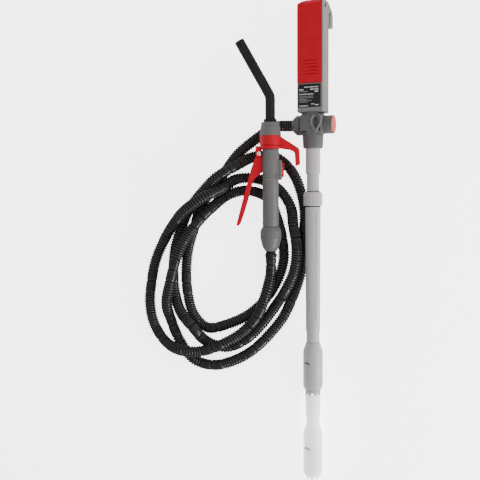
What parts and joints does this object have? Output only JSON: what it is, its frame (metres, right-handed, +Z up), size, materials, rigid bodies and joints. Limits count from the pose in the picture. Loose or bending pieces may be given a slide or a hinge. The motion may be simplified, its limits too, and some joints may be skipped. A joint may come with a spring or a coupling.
{
  "type": "battery transfer pump with hose and nozzle",
  "caption": "Battery transfer pump with a telescopic dip tube, outlet tee, corrugated hose and a trigger nozzle with a bent spout.",
  "frame": {"origin": "centre of the footprint of the pump and nozzle, on the surface they lie on", "axes": "+Y along the tube towards the battery head, +Z up, +X to the side of the power button"},
  "size_m": [0.3678, 0.8976, 0.084],
  "materials": {
    "head_housing": "fine grain",
    "battery_cover": "satin",
    "cover_hinge_pin": "drawn",
    "battery_lower": "printed jacket",
    "battery_upper": "printed jacket",
    "contact_spring": "drawn wire",
    "contact_plate": "rolled",
    "control_board": "satin",
    "label_plate": "satin",
    "hang_hook": "fine grain",
    "hook_pad": "satin",
    "hook_screw_left": "plated",
    "hook_screw_right": "plated",
    "pump_tee": "fine grain",
    "switch_body": "satin",
    "hose_barb": "satin",
    "upper_sleeve": "extruded",
    "inner_tube": "extruded",
    "hose": "satin",
    "hose_tie": "satin",
    "spout": "satin",
    "spout_ferrule": "satin",
    "nozzle_nose": "fine grain",
    "guard_collar": "satin",
    "lever_pin": "turned",
    "nozzle_body": "fine grain",
    "hose_ferrule": "turned",
    "outer_tube": "extruded",
    "collar_seal": "matt",
    "pump_housing": "fine grain",
    "motor_can": "drawn",
    "shaft_seal": "matt",
    "intake_tube": "milky translucent",
    "intake_foot": "milky translucent",
    "strainer_screen": "pressed",
    "power_button": "satin",
    "hose_coupling_nut": "fine grain",
    "collar_nut": "fine grain",
    "motor_shaft": "ground",
    "impeller": "fine grain",
    "lock_ring": "fine grain",
    "check_valve_disc": "matt",
    "trigger_lever": "satin",
    "valve_stem": "ground",
    "lock_slider": "satin",
    "tail_nut": "fine grain"
  },
  "bodies": {
    "pump_body": {"head_housing": "head_housing", "cover_hinge_pin": "cover_hinge_pin", "battery_lower": "battery_lower", "battery_upper": "battery_upper", "contact_spring": "contact_spring", "contact_plate": "contact_plate", "control_board": "control_board", "label_plate": "label_plate", "hang_hook": "hang_hook", "hook_pad": "hook_pad", "hook_screw_left": "hook_screw_left", "hook_screw_right": "hook_screw_right", "pump_tee": "pump_tee", "switch_body": "switch_body", "hose_barb": "hose_barb", "upper_sleeve": "upper_sleeve", "inner_tube": "inner_tube", "hose": "hose", "hose_tie": "hose_tie", "spout": "spout", "spout_ferrule": "spout_ferrule", "nozzle_nose": "nozzle_nose", "guard_collar": "guard_collar", "lever_pin": "lever_pin", "nozzle_body": "nozzle_body", "hose_ferrule": "hose_ferrule"},
    "battery_cover": {"battery_cover": "battery_cover"},
    "power_button": {"power_button": "power_button"},
    "coupling_nut": {"hose_coupling_nut": "hose_coupling_nut"},
    "lower_tube": {"outer_tube": "outer_tube", "collar_seal": "collar_seal", "pump_housing": "pump_housing", "motor_can": "motor_can", "shaft_seal": "shaft_seal", "intake_tube": "intake_tube", "intake_foot": "intake_foot", "strainer_screen": "strainer_screen"},
    "clamp_nut": {"collar_nut": "collar_nut"},
    "rotor": {"motor_shaft": "motor_shaft", "impeller": "impeller"},
    "intake_lock": {"lock_ring": "lock_ring"},
    "foot_valve": {"check_valve_disc": "check_valve_disc"},
    "trigger": {"trigger_lever": "trigger_lever"},
    "valve_stem": {"valve_stem": "valve_stem"},
    "lock_slider": {"lock_slider": "lock_slider"},
    "tail_nut": {"tail_nut": "tail_nut"}
  },
  "joints": [
    {"name": "cover_hinge", "type": "hinge", "parent": "pump_body", "child": "battery_cover", "pos_m": [0.04913, 0.43259, 0.0625], "axis": [-0.9563, 0.0134, -0.2921], "range_deg": [0, 70]},
    {"name": "power_button_press", "type": "slide", "parent": "pump_body", "child": "power_button", "axis": [-0.9563, 0.0134, -0.2921], "range_m": [0, 0.003], "stiffness_N_per_m": 400},
    {"name": "coupling_nut_turn", "type": "hinge", "parent": "pump_body", "child": "coupling_nut", "pos_m": [0.0219, 0.21943, 0.03918], "axis": [0.9563, -0.0134, 0.2921], "continuous": true},
    {"name": "telescope_slide", "type": "slide", "parent": "pump_body", "child": "lower_tube", "axis": [0, -0.999, -0.0457], "range_m": [0, 0.16]},
    {"name": "clamp_nut_turn", "type": "hinge", "parent": "lower_tube", "child": "clamp_nut", "pos_m": [0.05059, 0.08118, 0.04164], "axis": [0, 0.999, 0.0457], "continuous": true},
    {"name": "rotor_spin", "type": "hinge", "parent": "lower_tube", "child": "rotor", "pos_m": [0.05059, -0.26646, 0.02574], "axis": [0, 0.999, 0.0457], "continuous": true},
    {"name": "intake_lock_turn", "type": "hinge", "parent": "lower_tube", "child": "intake_lock", "pos_m": [0.05059, -0.28144, 0.02506], "axis": [0, 0.999, 0.0457], "range_deg": [0, 30]},
    {"name": "foot_valve_lift", "type": "slide", "parent": "lower_tube", "child": "foot_valve", "axis": [0, 0.999, 0.0457], "range_m": [0, 0.004]},
    {"name": "trigger_squeeze", "type": "hinge", "parent": "pump_body", "child": "trigger", "pos_m": [-0.04971, 0.16677, 0.04938], "axis": [0, -0.0985, 0.9951], "range_deg": [0, 14], "stiffness_Nm_per_rad": 1.5},
    {"name": "valve_stem_slide", "type": "slide", "parent": "pump_body", "child": "valve_stem", "axis": [1, 0, 0], "range_m": [0, 0.008]},
    {"name": "lock_slider_slide", "type": "slide", "parent": "pump_body", "child": "lock_slider", "axis": [0, 0.9951, 0.0985], "range_m": [0, 0.003]},
    {"name": "tail_nut_turn", "type": "hinge", "parent": "pump_body", "child": "tail_nut", "pos_m": [-0.02871, 0.01083, 0.03396], "axis": [0, 0.9951, 0.0985], "continuous": true}
  ],
  "couplings": [
    {"joint": "valve_stem_slide", "follows": "trigger_squeeze", "m_per_rad": 0.0302}
  ]
}
